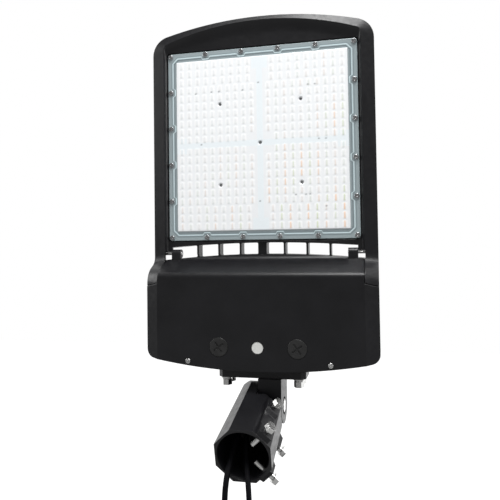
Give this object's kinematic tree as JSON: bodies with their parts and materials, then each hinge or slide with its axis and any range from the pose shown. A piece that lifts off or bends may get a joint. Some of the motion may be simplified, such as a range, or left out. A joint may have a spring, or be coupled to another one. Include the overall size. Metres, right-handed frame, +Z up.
{
  "type": "shoebox area light",
  "caption": "Shoebox LED area light: finned housing with a square lens plate, hinged driver cover and an adjustable slip fitter for a pole tenon.",
  "frame": {"origin": "centre of the slip fitter's mouth, where the pole tenon enters", "axes": "+Z up the upright light panel, its longest direction; the lit face looks along -Y; +X to the right as seen from the lit side; the slip fitter's mouth points along -Y and 15 degrees down"},
  "size_m": [0.315, 0.1774, 0.7214],
  "materials": {
    "black_casting": "black powder coat on die-cast aluminium, fine orange peel",
    "clear_lens": "clear moulded polycarbonate lens plate",
    "black_rubber": "matt silicone rubber",
    "black_plastic": "matt black plastic",
    "dark_screws": "dark stainless steel",
    "bright_steel": "bright stainless steel",
    "white_board": "white solder mask on an aluminium-core board",
    "led_phosphor": "yellow phosphor",
    "driver_case": "plain aluminium case",
    "grey_plastic": "moulded grey plastic",
    "white_plastic": "moulded white plastic",
    "green_board": "green circuit board",
    "frosted_window": "frosted grey window",
    "cord_jacket": "matt black rubber jacket",
    "wire_insulation": "coloured wire insulation"
  },
  "bodies": {
    "slip_fitter": {"slip_fitter_body": "black_casting", "set_bolts": "bright_steel", "cord_grommet": "black_rubber", "pivot_bolt": "bright_steel", "pivot_nut": "bright_steel", "pivot_washers": "bright_steel", "mains_cord": "cord_jacket", "mains_coil": "cord_jacket", "mains_conductors": "wire_insulation", "dimming_cord": "cord_jacket", "dimming_coil": "cord_jacket", "dimming_conductors": "wire_insulation", "cord_ties": "black_plastic"},
    "head": {"main_housing": "black_casting", "lens_plate": "clear_lens", "lens_gasket": "black_rubber", "lens_screws": "dark_screws", "lens_centre_screws": "dark_screws", "led_board_upper_left": "white_board", "led_board_upper_right": "white_board", "led_board_lower_left": "white_board", "led_board_lower_right": "white_board", "led_chips": "led_phosphor", "led_lead": "wire_insulation", "led_connector": "grey_plastic", "led_driver": "driver_case", "driver_screws": "bright_steel", "surge_protector": "grey_plastic", "terminal_block": "grey_plastic", "ground_screw": "bright_steel", "breather_vent": "black_plastic", "entry_grommet": "black_rubber", "hinge_pins": "bright_steel", "cover_gasket": "black_rubber", "bracket_gasket": "black_rubber", "mounting_bracket": "black_casting", "bracket_washers": "bright_steel", "bracket_lock_washers": "bright_steel", "bracket_bolts": "bright_steel"},
    "cover": {"driver_cover": "black_casting", "cover_screws": "bright_steel", "sensor_window": "frosted_window", "control_board": "green_board", "control_screws": "bright_steel", "light_sensor": "grey_plastic", "power_switch": "grey_plastic", "colour_switch": "grey_plastic"},
    "power_plug_seal": {"power_plug_seal": "black_rubber"},
    "power_plug": {"power_plug": "black_plastic"},
    "colour_plug_seal": {"colour_plug_seal": "black_rubber"},
    "colour_plug": {"colour_plug": "black_plastic"},
    "power_slider": {"power_slider": "white_plastic"},
    "colour_slider": {"colour_slider": "white_plastic"}
  },
  "joints": [
    {"name": "head_tilt", "type": "hinge", "parent": "slip_fitter", "child": "head", "pos_m": [0, 0.1134, 0.03038], "axis": [1, 0, 0], "range_deg": [-75, 15]},
    {"name": "cover_hinge", "type": "hinge", "parent": "head", "child": "cover", "pos_m": [0.004, 0.1126, 0.23888], "axis": [-1, 0, 0], "range_deg": [0, 100]},
    {"name": "power_plug_lift", "type": "slide", "parent": "cover", "child": "power_plug_seal", "axis": [0, -1, 0], "range_m": [0, 0.006]},
    {"name": "power_plug_turn", "type": "hinge", "parent": "power_plug_seal", "child": "power_plug", "pos_m": [-0.0487, 0.0716, 0.11489], "axis": [0, -1, 0], "range_deg": [0, 1440]},
    {"name": "power_slider_slide", "type": "slide", "parent": "cover", "child": "power_slider", "axis": [1, 0, 0], "range_m": [-0.004, 0.004]},
    {"name": "colour_plug_lift", "type": "slide", "parent": "cover", "child": "colour_plug_seal", "axis": [0, -1, 0], "range_m": [0, 0.006]},
    {"name": "colour_plug_turn", "type": "hinge", "parent": "colour_plug_seal", "child": "colour_plug", "pos_m": [0.0567, 0.0716, 0.11489], "axis": [0, -1, 0], "range_deg": [0, 1440]},
    {"name": "colour_slider_slide", "type": "slide", "parent": "cover", "child": "colour_slider", "axis": [1, 0, 0], "range_m": [-0.004, 0.004]}
  ],
  "couplings": [
    {"joint": "power_plug_turn", "follows": "power_plug_lift", "rad_per_m": 4188},
    {"joint": "colour_plug_turn", "follows": "colour_plug_lift", "rad_per_m": 4188}
  ]
}
